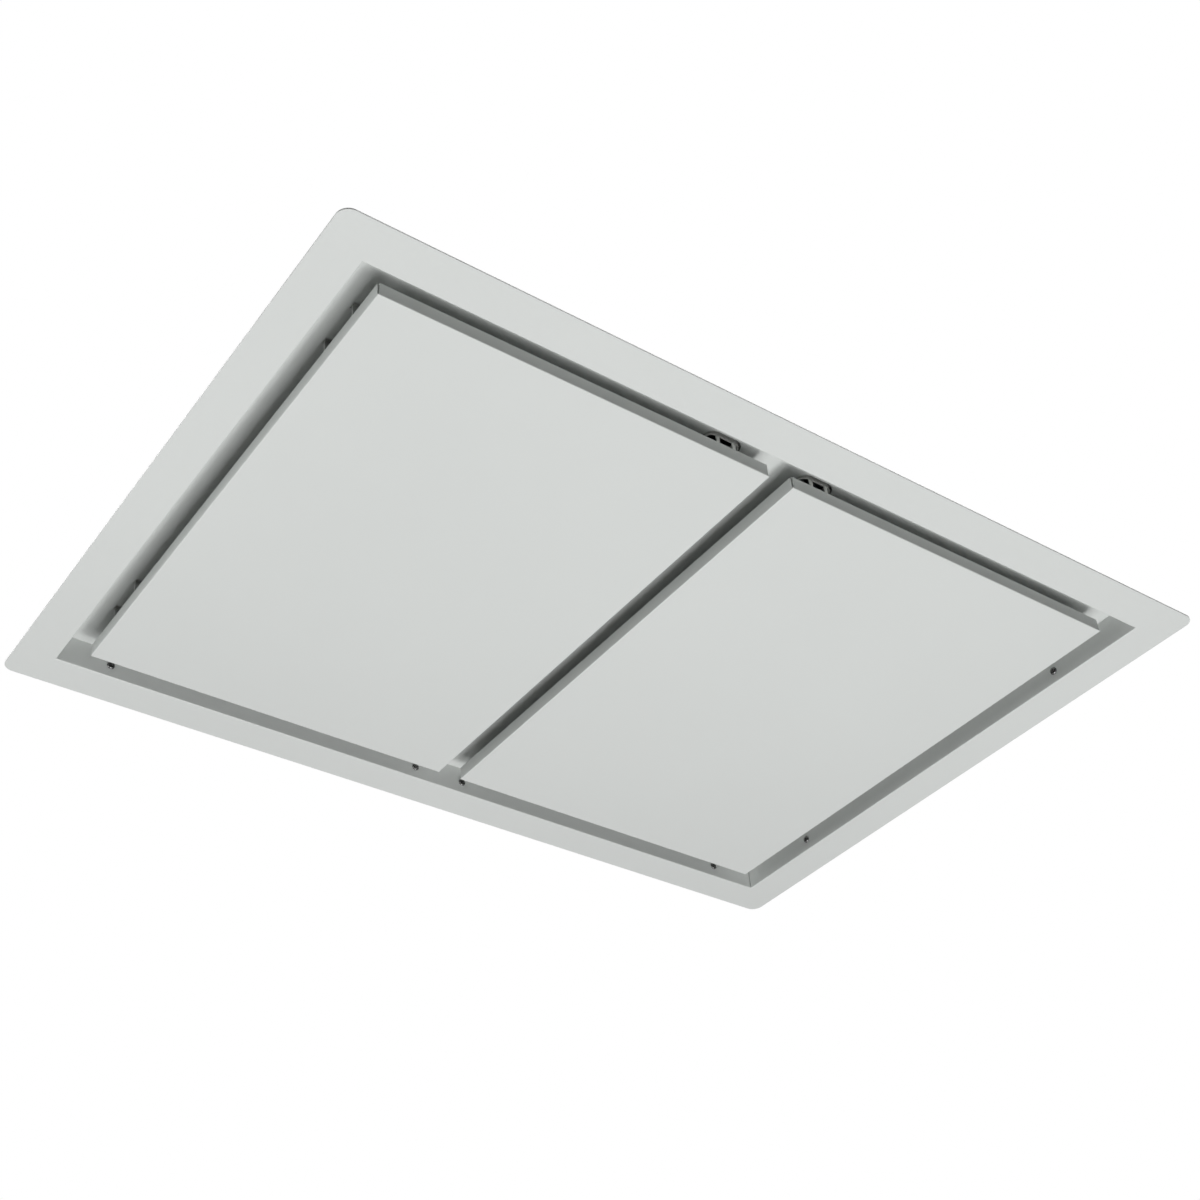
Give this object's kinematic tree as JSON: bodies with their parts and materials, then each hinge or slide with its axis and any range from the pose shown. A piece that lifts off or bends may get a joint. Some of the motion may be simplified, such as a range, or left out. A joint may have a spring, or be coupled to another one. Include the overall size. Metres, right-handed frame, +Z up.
{
  "type": "ceiling range hood",
  "caption": "Flush ceiling range hood: flat trim frame, drop-down perimeter-suction panels, grease filters and a ducted fan box above.",
  "frame": {"origin": "centre of the trim frame's visible face, at the hood's lowest plane", "axes": "+Z up into the ceiling, +X along the long side, +Y towards the duct outlet"},
  "size_m": [1, 0.7, 0.292],
  "materials": {
    "white_paint": "satin powder coat, off-white",
    "galvanised_steel": "galvanised, faint spangle",
    "zinc_plate": "zinc plated",
    "spring_steel": "bright",
    "black_steel": "black oxide, oiled",
    "filter_aluminium": "mill finish",
    "black_plastic": "moulded, fine grain",
    "white_plastic": "moulded",
    "black_rubber": "matt",
    "motor_paint": "satin black",
    "board_green": "lacquered laminate",
    "capacitor_can": "drawn can"
  },
  "bodies": {
    "root": {"rim_frame": "white_paint", "frame_screws": "black_steel", "intake_plate": "white_paint", "plenum_long_sides": "galvanised_steel", "plenum_short_sides": "galvanised_steel", "plenum_deck": "galvanised_steel", "motor_box": "galvanised_steel", "motor_box_lid": "galvanised_steel", "lid_screws": "zinc_plate", "panel_buffers": "black_rubber", "inlet_ring": "galvanised_steel", "scroll_housing": "galvanised_steel", "scroll_cover": "galvanised_steel", "scroll_posts": "black_rubber", "motor": "motor_paint", "motor_grommets": "black_rubber", "motor_bolts": "zinc_plate", "outlet_spigot": "black_plastic", "damper_pin": "zinc_plate", "control_box": "galvanised_steel", "control_box_cover": "galvanised_steel", "circuit_board": "board_green", "terminal_block": "white_plastic", "capacitor": "capacitor_can", "cable_gland": "black_plastic", "hanging_brackets": "zinc_plate", "hanger_bolts": "zinc_plate", "left_hinge_brackets": "zinc_plate", "left_hinge_pins": "zinc_plate", "left_catch_clips": "white_plastic", "left_filter_frame": "filter_aluminium", "left_filter_mesh": "filter_aluminium", "left_latch_spring": "spring_steel", "right_hinge_brackets": "zinc_plate", "right_hinge_pins": "zinc_plate", "right_catch_clips": "white_plastic", "right_filter_frame": "filter_aluminium", "right_filter_mesh": "filter_aluminium", "right_latch_spring": "spring_steel"},
    "left_door": {"left_panel": "white_paint", "left_panel_channels": "white_paint", "left_hinge_leaves": "zinc_plate", "left_catch_studs": "zinc_plate"},
    "right_door": {"right_panel": "white_paint", "right_panel_channels": "white_paint", "right_hinge_leaves": "zinc_plate", "right_catch_studs": "zinc_plate"},
    "fan": {"impeller": "galvanised_steel", "motor_shaft": "zinc_plate", "impeller_nut": "zinc_plate"},
    "left_flap": {"left_damper_flap": "black_plastic"},
    "right_flap": {"right_damper_flap": "black_plastic"},
    "left_latch": {"left_filter_latch": "black_plastic"},
    "right_latch": {"right_filter_latch": "black_plastic"}
  },
  "joints": [
    {"name": "left_panel_hinge", "type": "hinge", "parent": "root", "child": "left_door", "pos_m": [-0.4231, 0, 0.021], "axis": [0, 1, 0], "range_deg": [0, 90], "deforming": ["left_catch_clips"]},
    {"name": "right_panel_hinge", "type": "hinge", "parent": "root", "child": "right_door", "pos_m": [0.4231, 0, 0.021], "axis": [0, -1, 0], "range_deg": [0, 90], "deforming": ["right_catch_clips"]},
    {"name": "fan_spin", "type": "hinge", "parent": "root", "child": "fan", "pos_m": [-0.018, 0.033, 0.195], "axis": [0, 0, 1], "continuous": true},
    {"name": "left_flap_hinge", "type": "hinge", "parent": "root", "child": "left_flap", "pos_m": [0.098, 0.24855, 0.195], "axis": [0, 0, -1], "range_deg": [0, 75]},
    {"name": "right_flap_hinge", "type": "hinge", "parent": "root", "child": "right_flap", "pos_m": [0.098, 0.24855, 0.195], "axis": [0, 0, 1], "range_deg": [0, 75]},
    {"name": "left_latch_slide", "type": "slide", "parent": "root", "child": "left_latch", "axis": [-1, 0, 0], "range_m": [0, 0.007], "stiffness_N_per_m": 200, "springref_m": -0.005, "deforming": ["left_latch_spring"]},
    {"name": "right_latch_slide", "type": "slide", "parent": "root", "child": "right_latch", "axis": [1, 0, 0], "range_m": [0, 0.007], "stiffness_N_per_m": 200, "springref_m": -0.005, "deforming": ["right_latch_spring"]}
  ]
}
